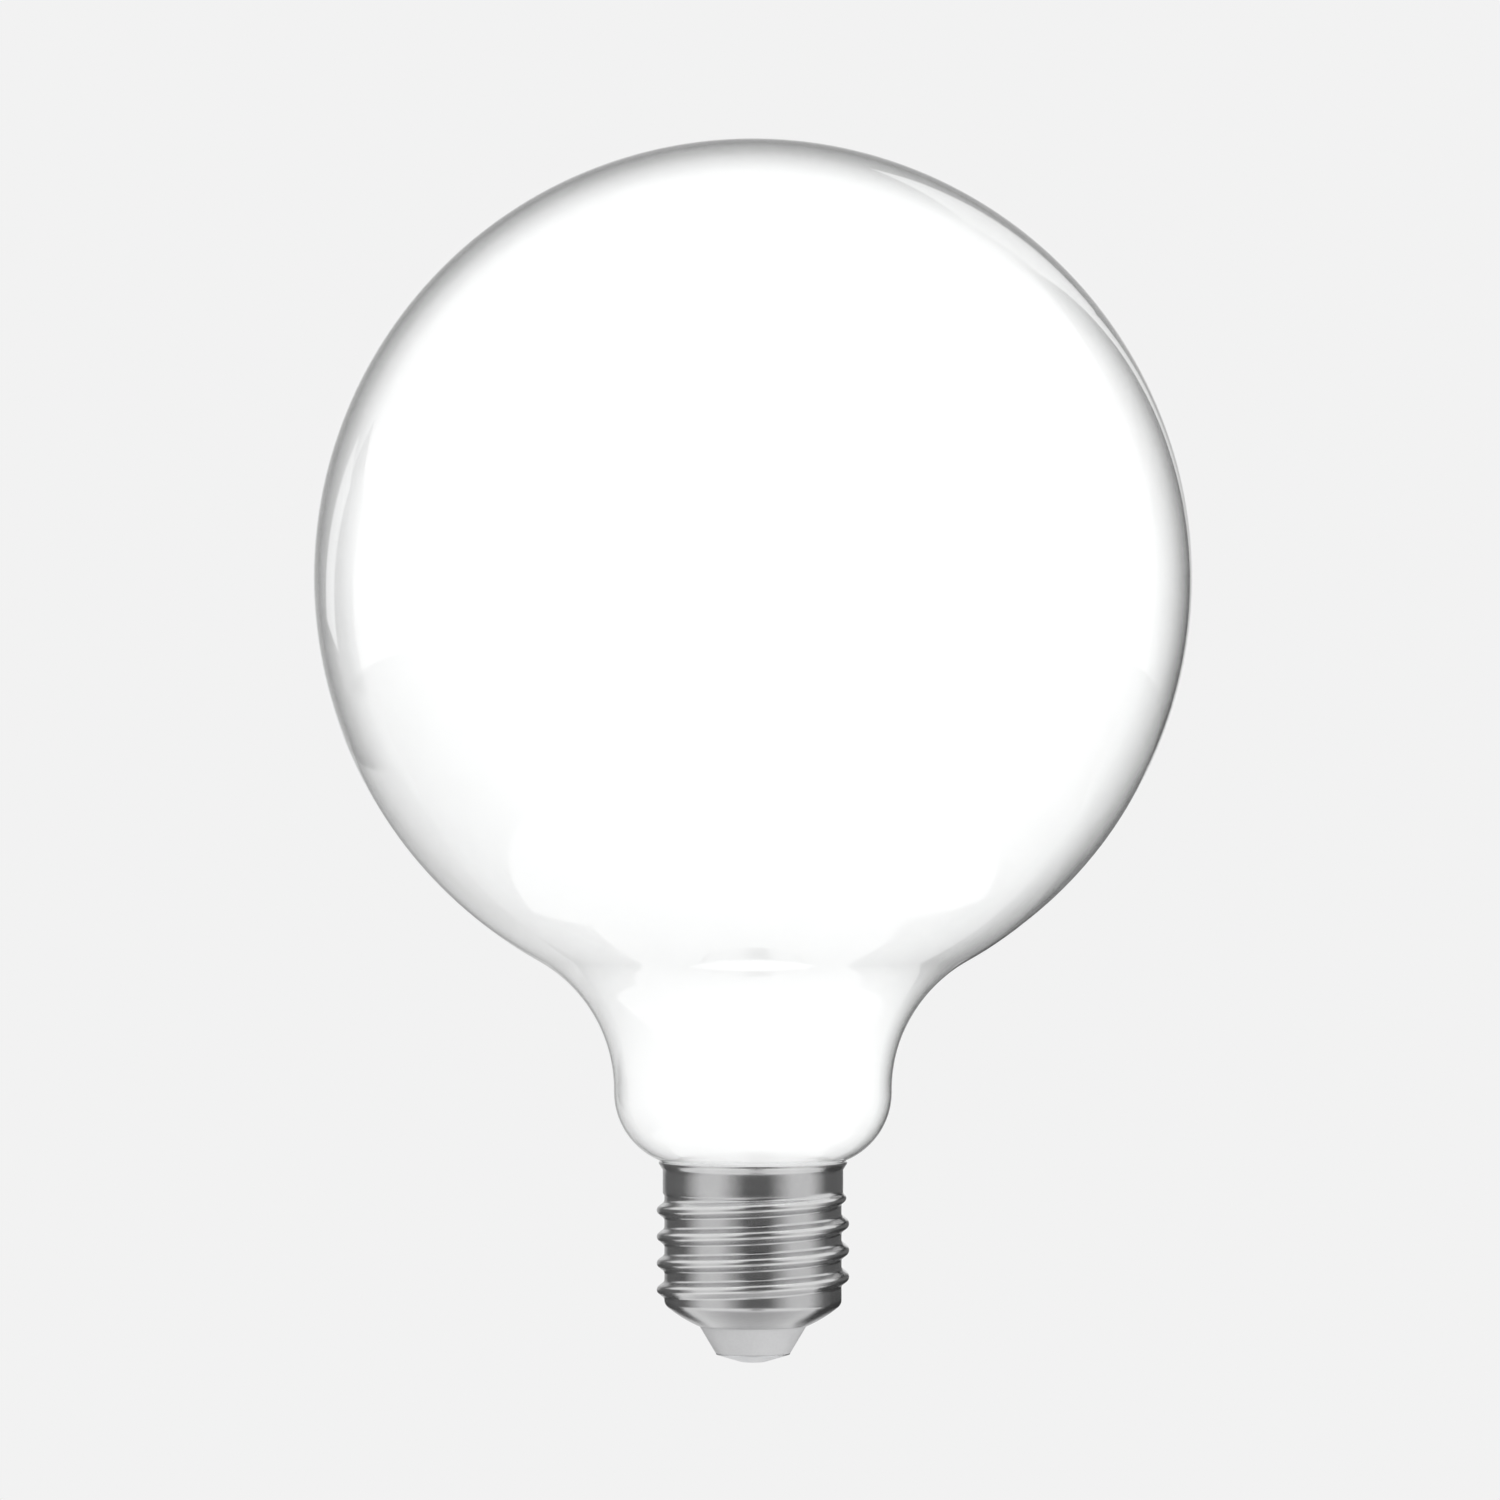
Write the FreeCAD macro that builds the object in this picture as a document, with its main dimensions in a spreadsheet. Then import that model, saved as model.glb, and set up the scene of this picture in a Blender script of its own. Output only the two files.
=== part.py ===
# Globe bulb with a screw cap: an opal glass globe, a screw shell rolled from thin sheet,
# a moulded insulator and a coned centre contact.
# Units are millimetres and degrees. +Z is the axis, from the cap to the globe.
# The origin is the lowest point of the centre contact.
import FreeCAD, Part

import math
import os
from enum import IntEnum

import Sketcher

# Driving dimensions.
DRIVING_SIZES = {
    # Glass
    "globe_diameter": 120.0,
    "neck_diameter": 38.04,
    "neck_length": 0.3,
    "neck_fillet_radius": 20.25,
    "shoulder_radius": 10.1,
    "stub_length": 8.0,
    # Screw shell
    "sheet_thickness": 0.3,
    "root_diameter": 24.26,
    "thread_depth": 1.045,
    "thread_pitch": 3.629,
    "crest_radius": 0.9,
    "flank_angle": 55.0,
    "thread_turns": 3.85,
    "thread_start_angle": 95.0,
    "thread_start_rise": 0.55,
    "runout_angle": 75.0,
    "barrel_height": 14.3,
    "collar_ramp": 0.4,
    "collar_step": 0.23,
    "collar_height": 3.15,
    "lip_ramp": 0.85,
    "lip_flare": 0.53,
    "lip_height": 0.25,
    "bowl_radius": 18.5,
    "bowl_corner_radius": 1.2,
    "hole_diameter": 14.8,
    # Insulator
    "boss_height": 3.7,
    "boss_tip_diameter": 10.5,
    "skirt_height": 1.3,
    # Centre contact, a coned head on a shank
    "contact_crown": 1.25,
    "contact_rim": 0.2,
    "contact_diameter": 10.2,
    "contact_land_diameter": 3.0,
    "shank_diameter": 3.2,
    "shank_length": 5.0,
    # Clearances between pieces
    "glass_clearance": 0.08,
    "insulator_clearance": 0.08,
    "shank_clearance": 0.05,
}

# Radii and heights that follow from the driving dimensions.
DERIVED_SIZES = {
    "hole_level": "=sizes.contact_crown + sizes.boss_height",
    "hole_reach": "=sizes.hole_diameter / 2",
    "root_reach": "=sizes.root_diameter / 2",
    "crest_reach": "=root_reach + sizes.thread_depth",
    "corner_reach": "=root_reach - sizes.bowl_corner_radius",
    "bowl_level": "=hole_level + sqrt(sizes.bowl_radius ^ 2 - hole_reach ^ 2)",
    "corner_drop": "=sqrt((sizes.bowl_radius - sizes.bowl_corner_radius) ^ 2 - corner_reach ^ 2)",
    "corner_level": "=bowl_level - corner_drop",
    "barrel_top": "=corner_level + sizes.barrel_height",
    "collar_base": "=barrel_top + sizes.collar_ramp",
    "collar_reach": "=root_reach + sizes.collar_step",
    "collar_top": "=collar_base + sizes.collar_height",
    "lip_base": "=collar_top + sizes.lip_ramp",
    "lip_reach": "=collar_reach + sizes.lip_flare",
    "lip_top": "=lip_base + sizes.lip_height",
    "glass_inset": "=sizes.sheet_thickness + sizes.glass_clearance",
    "glass_rest": "=lip_top + sizes.glass_clearance",
    "stub_level": "=lip_top - sizes.stub_length",
    "insulator_inset": "=sizes.sheet_thickness + sizes.insulator_clearance",
    "throat_reach": "=hole_reach - sizes.insulator_clearance",
    "throat_top": "=bowl_level - sqrt((sizes.bowl_radius - insulator_inset) ^ 2 - throat_reach ^ 2)",
    "skirt_top": "=corner_level + sizes.skirt_height",
    "bore_reach": "=sizes.shank_diameter / 2 + sizes.shank_clearance",
}

# The thread ridge is lofted through this many sections a turn.
SECTIONS_PER_TURN = 24
# Corners of the flats that stand for the round crest, as shares of the flank angle,
# outside and on the hidden inside.
OUTER_CREST = (-1, -1 / 3, 1 / 3, 1)
INNER_CREST = (-1, 1)
# The ridge is seated this far inside the wall, and its ends stop this far below the wall's surface.
RIDGE_SEAT = 0.2
RUNOUT_DEPTH = 0.05
# The inside of the shell runs out above the lip by this much.
MOUTH_OVERRUN = 1.0


class Spot(IntEnum):
    """The points of a sketch edge."""

    START = 1
    END = 2
    CENTRE = 3


class Fixed(IntEnum):
    """The sketch references that stand for the origin and the vertical axis."""

    ORIGIN = -1
    Z_AXIS = -2


def make_sheet(doc, name, cells):
    """A spreadsheet with one named value a row."""
    sheet = doc.addObject("Spreadsheet::Sheet", name)
    for row, (alias, content) in enumerate(cells.items(), start=1):
        sheet.set(f"A{row}", alias)
        sheet.set(f"B{row}", str(content))
        sheet.setAlias(f"B{row}", alias)
    doc.recompute()
    return sheet


class Outline:
    """A closed profile on the XZ plane of a body, drawn edge by edge. x is the radius and y the height."""

    def __init__(self, body, name, first):
        self.body = body
        self.sketch = body.newObject("Sketcher::SketchObject", name)
        plane = next(f for f in body.Origin.OriginFeatures if f.Role == "XZ_Plane")
        self.sketch.AttachmentSupport = [(plane, "")]
        self.sketch.MapMode = "FlatFace"
        self.first = first
        self.pen = first
        self.ends = []

    def line(self, end):
        """Draws a straight edge from the pen."""
        segment = Part.LineSegment(FreeCAD.Vector(*self.pen, 0), FreeCAD.Vector(*end, 0))
        self.sketch.addGeometry(segment, False)
        self.ends.append((Spot.START, Spot.END))
        self.pen = end

    def arc(self, centre, end, anticlockwise=True):
        """Draws an arc about the centre from the pen."""
        circle = Part.Circle(FreeCAD.Vector(*centre, 0), FreeCAD.Vector(0, 0, 1), math.dist(centre, self.pen))
        angles = [math.atan2(point[1] - centre[1], point[0] - centre[0]) for point in (self.pen, end)]
        if not anticlockwise:
            angles.reverse()
        self.sketch.addGeometry(Part.ArcOfCircle(circle, *angles), False)
        self.ends.append((Spot.START, Spot.END) if anticlockwise else (Spot.END, Spot.START))
        self.pen = end

    def join(self, smooth=()):
        """Joins each edge to the next. The edges listed in smooth also leave tangent to the next."""
        for edge, (_, end) in enumerate(self.ends):
            following = (edge + 1) % len(self.ends)
            start = self.ends[following][0]
            kind = "Tangent" if edge in smooth else "Coincident"
            self.sketch.addConstraint(Sketcher.Constraint(kind, edge, end, following, start))

    def straight(self, horizontal, vertical):
        """Makes edges horizontal or vertical."""
        for edge in horizontal:
            self.sketch.addConstraint(Sketcher.Constraint("Horizontal", edge))
        for edge in vertical:
            self.sketch.addConstraint(Sketcher.Constraint("Vertical", edge))

    def on_axis(self, ends=(), centres=()):
        """Holds the ends of edges, or the centres of arcs, on the axis of the bulb."""
        points = [(edge, self.ends[edge][1]) for edge in ends]
        points += [(edge, Spot.CENTRE) for edge in centres]
        for edge, point in points:
            self.sketch.addConstraint(Sketcher.Constraint("PointOnObject", edge, point, Fixed.Z_AXIS))

    def bind(self, name, constraint, expression):
        """Adds a constraint whose value comes from the sheets."""
        index = self.sketch.addConstraint(constraint)
        self.sketch.renameConstraint(index, name)
        self.sketch.setExpression(f"Constraints.{name}", expression)

    def radius(self, edge, name, expression):
        """Sets the radius of an arc."""
        value = self.sketch.Geometry[edge].Radius
        self.bind(name, Sketcher.Constraint("Radius", edge, value), expression)

    def reach(self, edge, name, expression):
        """Sets the distance from the axis to the end of an edge."""
        end = self.ends[edge][1]
        value = self.sketch.getPoint(edge, end).x
        span = Sketcher.Constraint("DistanceX", Fixed.ORIGIN, Spot.START, edge, end, value)
        self.bind(name, span, expression)

    def level(self, edge, name, expression, point=None):
        """Sets the height of the end of an edge, or of the point of it that is given."""
        point = point or self.ends[edge][1]
        value = self.sketch.getPoint(edge, point).y
        span = Sketcher.Constraint("DistanceY", Fixed.ORIGIN, Spot.START, edge, point, value)
        self.bind(name, span, expression)

    def revolve(self, name):
        """Turns the profile about the axis of the bulb."""
        turned = self.body.newObject("PartDesign::Revolution", name)
        turned.Profile = self.sketch
        turned.ReferenceAxis = (self.sketch, ["V_Axis"])
        turned.Angle = 360
        self.sketch.Visibility = False


def new_body(doc, label):
    """An empty body under its own label."""
    body = doc.addObject("PartDesign::Body", label)
    body.Label = label
    return body


def make_glass(doc):
    """The blown globe with its neck, and the stub that stands in the shell."""
    size, level = doc.sizes, doc.levels
    globe, fillet, shoulder = size.globe_diameter / 2, size.neck_fillet_radius, size.shoulder_radius
    neck = size.neck_diameter / 2
    stub = level.root_reach - level.glass_inset
    rim = level.lip_reach - level.glass_inset
    shoulder_level = level.glass_rest + math.sqrt(shoulder**2 - (rim - neck + shoulder) ** 2)
    fillet_level = shoulder_level + size.neck_length
    globe_level = fillet_level + math.sqrt((globe + fillet) ** 2 - (neck + fillet) ** 2)
    share = globe / (globe + fillet)
    tangent = (share * (neck + fillet), globe_level + share * (fillet_level - globe_level))

    body = new_body(doc, "glass_globe")
    outline = Outline(body, "glass_outline", (0, globe_level + globe))
    outline.line((0, level.stub_level))
    outline.line((stub, level.stub_level))
    outline.line((stub, level.collar_top))
    outline.line((rim, level.glass_rest))
    outline.arc((neck - shoulder, shoulder_level), (neck, shoulder_level))
    outline.line((neck, fillet_level))
    outline.arc((neck + fillet, fillet_level), tangent, anticlockwise=False)
    outline.arc((0, globe_level), outline.first)
    outline.join(smooth=(4, 5, 6))
    outline.straight(horizontal=(1,), vertical=(2, 5))
    outline.on_axis(ends=(0, 7), centres=(7,))
    outline.level(1, "stub_level", "levels.stub_level")
    outline.reach(1, "stub_reach", "levels.root_reach - levels.glass_inset")
    outline.level(2, "seat_level", "levels.collar_top")
    outline.level(3, "rim_level", "levels.glass_rest")
    outline.reach(3, "rim_reach", "levels.lip_reach - levels.glass_inset")
    outline.radius(4, "shoulder_radius", "sizes.shoulder_radius")
    outline.reach(4, "neck_reach", "sizes.neck_diameter / 2")
    neck_span = Sketcher.Constraint("DistanceY", 5, Spot.START, 5, Spot.END, size.neck_length)
    outline.bind("neck_length", neck_span, "sizes.neck_length")
    outline.radius(6, "fillet_radius", "sizes.neck_fillet_radius")
    outline.radius(7, "globe_radius", "sizes.globe_diameter / 2")
    outline.revolve("glass")
    return body


def make_shell_form(doc, name, inset, overrun):
    """One skin of the shell as a filled form: bowl, barrel, collar and lip.

    inset is the name of the value that the skin lies inside the outer one by, and None is the outer skin.
    overrun is how far the form runs on above the lip.
    """
    size, level = doc.sizes, doc.levels
    depth = getattr(size, inset) if inset else 0
    less = f" - sizes.{inset}" if inset else ""
    bowl = size.bowl_radius - depth
    share = bowl / (size.bowl_radius - size.bowl_corner_radius)
    bowl_end = (share * level.corner_reach, level.bowl_level - share * level.corner_drop)
    root, collar, lip = (reach - depth for reach in (level.root_reach, level.collar_reach, level.lip_reach))
    top = level.lip_top + overrun

    body = new_body(doc, name)
    outline = Outline(body, f"{name}_outline", (0, level.bowl_level - bowl))
    outline.arc((0, level.bowl_level), bowl_end)
    outline.arc((level.corner_reach, level.corner_level), (root, level.corner_level))
    outline.line((root, level.barrel_top))
    outline.line((collar, level.collar_base))
    outline.line((collar, level.collar_top))
    outline.line((lip, level.lip_base))
    outline.line((lip, top))
    outline.line((0, top))
    outline.line(outline.first)
    outline.join(smooth=(0, 1))
    outline.straight(horizontal=(7,), vertical=(2, 4, 6))
    outline.on_axis(ends=(7, 8), centres=(0,))
    outline.level(0, "bowl_level", "levels.bowl_level", Spot.CENTRE)
    outline.radius(0, "bowl_radius", f"sizes.bowl_radius{less}")
    outline.radius(1, "corner_radius", f"sizes.bowl_corner_radius{less}")
    outline.reach(1, "root_reach", f"levels.root_reach{less}")
    outline.level(2, "barrel_top", "levels.barrel_top")
    outline.level(3, "collar_base", "levels.collar_base")
    outline.reach(3, "collar_reach", f"levels.collar_reach{less}")
    outline.level(4, "collar_top", "levels.collar_top")
    outline.level(5, "lip_base", "levels.lip_base")
    outline.reach(5, "lip_reach", f"levels.lip_reach{less}")
    outline.level(6, "top", f"levels.lip_top + {overrun}")
    outline.revolve(f"{name}_turned")
    return body


def make_thread_ridge(doc, name, inset, crest_corners):
    """The rolled thread as a ridge, lofted along a right-hand helix, that fades into the wall at both ends.

    inset is how far the skin lies inside the outer one.
    crest_corners are the corners of the crest's flats, as shares of the flank angle.
    """
    size, level = doc.sizes, doc.levels
    wall, crest, crest_radius = (
        reach - inset for reach in (level.root_reach, level.crest_reach, size.crest_radius)
    )
    seat = wall - RIDGE_SEAT
    flank = math.radians(size.flank_angle)
    flank_top = crest - crest_radius * (1 - math.cos(flank))
    half_base = crest_radius * math.sin(flank) + (flank_top - seat) / math.tan(flank)
    profile = [(seat, -half_base)]
    profile += [
        (crest - crest_radius * (1 - math.cos(share * flank)), crest_radius * math.sin(share * flank))
        for share in crest_corners
    ]
    profile += [(seat, half_base)]

    steps = math.ceil(size.thread_turns * SECTIONS_PER_TURN)
    sunk = (wall - RUNOUT_DEPTH - seat) / (crest - seat)
    sections = []
    for step in range(steps + 1):
        turned = 360 * size.thread_turns * step / steps
        from_end = min(turned, 360 * size.thread_turns - turned)
        ramp = min(1, from_end / size.runout_angle)
        growth = sunk + (1 - sunk) * ramp**2 * (3 - 2 * ramp)
        rise = level.corner_level + size.thread_start_rise + size.thread_pitch * turned / 360
        points = [
            FreeCAD.Vector(seat + growth * (reach - seat), 0, rise + growth * offset)
            for reach, offset in profile
        ]
        section = Part.makePolygon(points + points[:1])
        section.rotate(FreeCAD.Vector(), FreeCAD.Vector(0, 0, 1), size.thread_start_angle + turned)
        sections.append(section)
    ridge = doc.addObject("Part::Feature", name)
    ridge.Shape = Part.makeLoft(sections, True, True)
    return ridge


def make_shell(doc):
    """The screw shell: the outer form with its thread, less the inner form with the same thread and a hole."""
    outside = doc.addObject("Part::MultiFuse", "shell_outside")
    outside.Shapes = [
        make_shell_form(doc, "outer_form", None, 0),
        make_thread_ridge(doc, "outer_thread", 0, OUTER_CREST),
    ]
    hole = doc.addObject("Part::Cylinder", "bowl_hole")
    hole.setExpression("Radius", "levels.hole_reach")
    hole.setExpression("Height", "levels.corner_level")
    inside = doc.addObject("Part::MultiFuse", "shell_inside")
    inside.Shapes = [
        make_shell_form(doc, "inner_form", "sheet_thickness", MOUTH_OVERRUN),
        make_thread_ridge(doc, "inner_thread", doc.sizes.sheet_thickness, INNER_CREST),
        hole,
    ]
    shell = doc.addObject("Part::Cut", "screw_shell")
    shell.Base = outside
    shell.Tool = inside
    for step in (outside, inside, shell):
        step.Refine = False
    return shell


def make_insulator(doc):
    """The moulded insulator: a coned skirt seated in the bowl and a tapered boss out of its hole."""
    size, level = doc.sizes, doc.levels
    skirt = level.root_reach - level.insulator_inset

    body = new_body(doc, "insulator")
    outline = Outline(body, "insulator_outline", (level.bore_reach, size.contact_crown))
    outline.line((size.boss_tip_diameter / 2, size.contact_crown))
    outline.line((level.throat_reach, level.hole_level))
    outline.line((level.throat_reach, level.throat_top))
    outline.line((skirt, level.corner_level))
    outline.line((skirt, level.skirt_top))
    outline.line((level.bore_reach, level.skirt_top))
    outline.line(outline.first)
    outline.join()
    outline.straight(horizontal=(0, 5), vertical=(2, 4, 6))
    outline.reach(0, "tip_reach", "sizes.boss_tip_diameter / 2")
    outline.reach(1, "throat_reach", "levels.throat_reach")
    outline.level(1, "hole_level", "levels.hole_level")
    outline.level(2, "throat_top", "levels.throat_top")
    outline.reach(3, "skirt_reach", "levels.root_reach - levels.insulator_inset")
    outline.level(3, "corner_level", "levels.corner_level")
    outline.level(4, "skirt_top", "levels.skirt_top")
    outline.reach(6, "bore_reach", "levels.bore_reach")
    outline.level(6, "contact_crown", "sizes.contact_crown")
    outline.revolve("insulator_turned")
    return body


def make_contact(doc):
    """The centre contact: a coned head with a small flat land, and its shank."""
    size = doc.sizes
    land, head, shank = (size.contact_land_diameter / 2, size.contact_diameter / 2, size.shank_diameter / 2)
    shank_top = size.contact_crown + size.shank_length

    body = new_body(doc, "centre_contact")
    outline = Outline(body, "contact_outline", (0, 0))
    outline.line((land, 0))
    outline.line((head, size.contact_crown - size.contact_rim))
    outline.line((head, size.contact_crown))
    outline.line((shank, size.contact_crown))
    outline.line((shank, shank_top))
    outline.line((0, shank_top))
    outline.line(outline.first)
    outline.join()
    outline.straight(horizontal=(0, 3, 5), vertical=(2, 4))
    outline.on_axis(ends=(5,))
    outline.sketch.addConstraint(Sketcher.Constraint("Coincident", 6, Spot.END, Fixed.ORIGIN, Spot.START))
    outline.reach(0, "land_reach", "sizes.contact_land_diameter / 2")
    outline.reach(1, "head_reach", "sizes.contact_diameter / 2")
    outline.level(1, "rim_level", "sizes.contact_crown - sizes.contact_rim")
    outline.level(2, "crown", "sizes.contact_crown")
    outline.reach(3, "shank_reach", "sizes.shank_diameter / 2")
    outline.level(4, "shank_top", "sizes.contact_crown + sizes.shank_length")
    outline.revolve("contact_turned")
    return body


def check(doc, pieces):
    """Stops on any failed object, loose sketch or faulty solid."""
    for item in doc.Objects:
        if "Invalid" in item.State or "Error" in item.State:
            raise RuntimeError(f"{item.Label} failed: {item.State}")
        if item.TypeId == "Sketcher::SketchObject" and not item.FullyConstrained:
            raise RuntimeError(f"{item.Label} isn't fully constrained")
    for piece in pieces:
        if piece.Shape.isNull() or not piece.Shape.isValid() or len(piece.Shape.Solids) != 1:
            raise RuntimeError(f"{piece.Label} isn't one valid solid")


def main():
    doc = FreeCAD.newDocument("globe_bulb")
    make_sheet(doc, "sizes", DRIVING_SIZES)
    make_sheet(doc, "levels", DERIVED_SIZES)
    pieces = [make_glass(doc), make_shell(doc), make_insulator(doc), make_contact(doc)]
    doc.recompute()
    check(doc, pieces)
    os.makedirs("parts", exist_ok=True)
    for piece in pieces:
        piece.Shape.exportStep(f"parts/{piece.Label}.step")
        print(piece.Label, round(piece.Shape.Volume, 1), "mm3", len(piece.Shape.Faces), "faces")


main()
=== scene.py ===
"""Looks of an opal globe bulb with a rolled screw cap.

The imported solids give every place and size. Fine turned meshes stand for them, each with its own finish, in a plain
pale studio. Lengths in the classes are millimetres, and the meshes are metres.
"""

import logging
import math
from dataclasses import dataclass, field
from enum import Enum

import bmesh
import bpy
from mathutils import Matrix, Vector


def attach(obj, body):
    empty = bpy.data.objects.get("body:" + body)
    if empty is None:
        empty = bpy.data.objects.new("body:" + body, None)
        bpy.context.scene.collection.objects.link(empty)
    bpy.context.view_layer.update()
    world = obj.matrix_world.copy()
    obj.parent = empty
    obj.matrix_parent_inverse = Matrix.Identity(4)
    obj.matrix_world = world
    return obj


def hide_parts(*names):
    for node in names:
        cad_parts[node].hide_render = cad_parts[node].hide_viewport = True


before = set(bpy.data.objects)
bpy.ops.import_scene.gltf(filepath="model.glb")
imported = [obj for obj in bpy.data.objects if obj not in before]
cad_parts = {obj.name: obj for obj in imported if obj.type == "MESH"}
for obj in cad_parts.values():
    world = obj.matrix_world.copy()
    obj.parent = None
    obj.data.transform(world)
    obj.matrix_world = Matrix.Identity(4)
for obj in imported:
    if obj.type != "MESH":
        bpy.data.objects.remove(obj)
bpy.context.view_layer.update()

MM = 0.001
MERGE_DISTANCE = 1e-7
DISC_SEGMENTS = 96
BEND_STEPS = 48
BODY = "root"

Point = tuple[float, float]
Colour = tuple[float, float, float]

logging.basicConfig(level=logging.INFO, format="%(name)s: %(message)s")
log = logging.getLogger("globe_bulb")


class Slot(Enum):
    """The material slots of the record."""

    OPAL_GLASS = "opal_glass"
    CAP_SHEET = "cap_sheet"
    INSULATOR = "insulator"
    CONTACT = "contact"


class Across(Enum):
    """The direction that fine turning marks follow one another in."""

    HEIGHT = "height"
    RADIUS = "radius"


class Lathe:
    """A profile drawn with a pen and turned about the Z axis. Points are radius and height in mm."""

    def __init__(self, start: Point) -> None:
        """Puts the pen down.

        Args:
            start: the first point of the profile.
        """
        self.mesh = bmesh.new()
        self.pen = self.mesh.verts.new((start[0] * MM, 0, start[1] * MM))
        self.first = self.pen

    def line(self, end: Point, steps: int = 1) -> None:
        """Draws a straight run.

        Args:
            end: where the run ends.
            steps: how many edges it has.
        """
        start, goal = self.pen.co.copy(), Vector((end[0] * MM, 0, end[1] * MM))
        for step in range(1, steps + 1):
            drawn = bmesh.ops.extrude_vert_indiv(self.mesh, verts=[self.pen])
            self.pen = drawn["verts"][0]
            self.pen.co = start.lerp(goal, step / steps)

    def arc(self, centre: Point, degrees: float, steps: int) -> None:
        """Draws an arc.

        Args:
            centre: the centre of the arc.
            degrees: the sweep, anticlockwise with the radius to the right and the height up.
            steps: how many edges it has.
        """
        drawn = bmesh.ops.spin(
            self.mesh,
            geom=[self.pen],
            cent=(centre[0] * MM, 0, centre[1] * MM),
            axis=(0, 1, 0),
            dvec=(0, 0, 0),
            angle=-math.radians(degrees),
            steps=steps,
            use_merge=False,
            use_duplicate=False,
        )
        self.pen = next(item for item in drawn["geom_last"] if isinstance(item, bmesh.types.BMVert))

    def close(self) -> None:
        """Joins the pen to the first point."""
        self.mesh.edges.new((self.pen, self.first))

    def turn(self, segments: int) -> bmesh.types.BMesh:
        """Turns the profile all the way round.

        Args:
            segments: how many steps the turn has.

        Returns:
            The turned mesh, closed at its poles, with its faces outwards.
        """
        bmesh.ops.spin(
            self.mesh,
            geom=self.mesh.verts[:] + self.mesh.edges[:],
            cent=(0, 0, 0),
            axis=(0, 0, 1),
            dvec=(0, 0, 0),
            angle=math.tau,
            steps=segments,
            use_merge=True,
            use_duplicate=False,
        )
        bmesh.ops.remove_doubles(self.mesh, verts=self.mesh.verts, dist=MERGE_DISTANCE)
        bmesh.ops.recalc_face_normals(self.mesh, faces=self.mesh.faces)
        return self.mesh


def turning_angle(point: Vector) -> float:
    """The angle of a point about the axis, in degrees from 0 to 360."""
    return math.degrees(math.atan2(point.y, point.x)) % 360


def ease(share: float) -> float:
    """A smooth step from 0 to 1."""
    share = min(1.0, max(0.0, share))
    return share * share * (3 - 2 * share)


def new_piece(name: str, mesh: bmesh.types.BMesh, material: bpy.types.Material) -> bpy.types.Object:
    """Makes a smooth-shaded object of a mesh.

    Args:
        name: the piece's name.
        mesh: its mesh, in metres, which is freed.
        material: its finish.

    Returns:
        The object, linked to the scene.
    """
    data = bpy.data.meshes.new(name)
    mesh.to_mesh(data)
    mesh.free()
    data.shade_smooth()
    data.materials.append(material)
    piece = bpy.data.objects.new(name, data)
    bpy.context.scene.collection.objects.link(piece)
    return piece


def stand_for(piece: bpy.types.Object, node: str) -> None:
    """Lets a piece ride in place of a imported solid.

    Args:
        piece: the piece.
        node: the solid that it stands for.
    """
    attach(piece, BODY)
    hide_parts(node)
    log.info("%s stands for %s with %d faces", piece.name, node, len(piece.data.polygons))


class Tree:
    """A node tree with short calls for the nodes that the finishes share."""

    def __init__(self, tree: bpy.types.NodeTree) -> None:
        """Takes a tree over and empties it."""
        self.tree = tree
        self.tree.nodes.clear()

    def add(self, kind: str, **settings: object) -> bpy.types.Node:
        """Adds a node.

        Args:
            kind: its type, without the leading word of the shader nodes.
            settings: properties of the node.

        Returns:
            The node.
        """
        node = self.tree.nodes.new(kind if kind.startswith("Node") else f"ShaderNode{kind}")
        for name, value in settings.items():
            setattr(node, name, value)
        return node

    def join(self, source: bpy.types.NodeSocket, target: bpy.types.NodeSocket) -> None:
        """Links two sockets."""
        self.tree.links.new(source, target)

    def sums(self, operation: str, *terms: object) -> bpy.types.NodeSocket:
        """Adds a Math node.

        Args:
            operation: its operation.
            terms: numbers or sockets, in the order of its inputs.

        Returns:
            Its output.
        """
        node = self.add("Math", operation=operation)
        for socket, term in zip(node.inputs, terms):
            if isinstance(term, bpy.types.NodeSocket):
                self.join(term, socket)
            else:
                socket.default_value = term
        return node.outputs[0]

    def spread(self, value: bpy.types.NodeSocket, source: Point, target: Point) -> bpy.types.NodeSocket:
        """Maps a value from one range to another, held at the ends.

        Args:
            value: the value.
            source: the range that it comes from.
            target: the range that it goes to.

        Returns:
            The mapped value.
        """
        node = self.add("MapRange", interpolation_type="SMOOTHSTEP")
        self.join(value, node.inputs["Value"])
        for name, number in zip(("From Min", "From Max", "To Min", "To Max"), (*source, *target)):
            node.inputs[name].default_value = number
        return node.outputs["Result"]

    def blend(self, share: bpy.types.NodeSocket, low: Colour, high: Colour) -> bpy.types.NodeSocket:
        """Mixes two colours.

        Args:
            share: 0 is the low colour and 1 the high one.
            low: the colour at 0.
            high: the colour at 1.

        Returns:
            The mixed colour.
        """
        node = self.add("Mix", data_type="RGBA")
        self.join(share, node.inputs["Factor"])
        node.inputs["A"].default_value = (*low, 1)
        node.inputs["B"].default_value = (*high, 1)
        return node.outputs["Result"]


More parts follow.
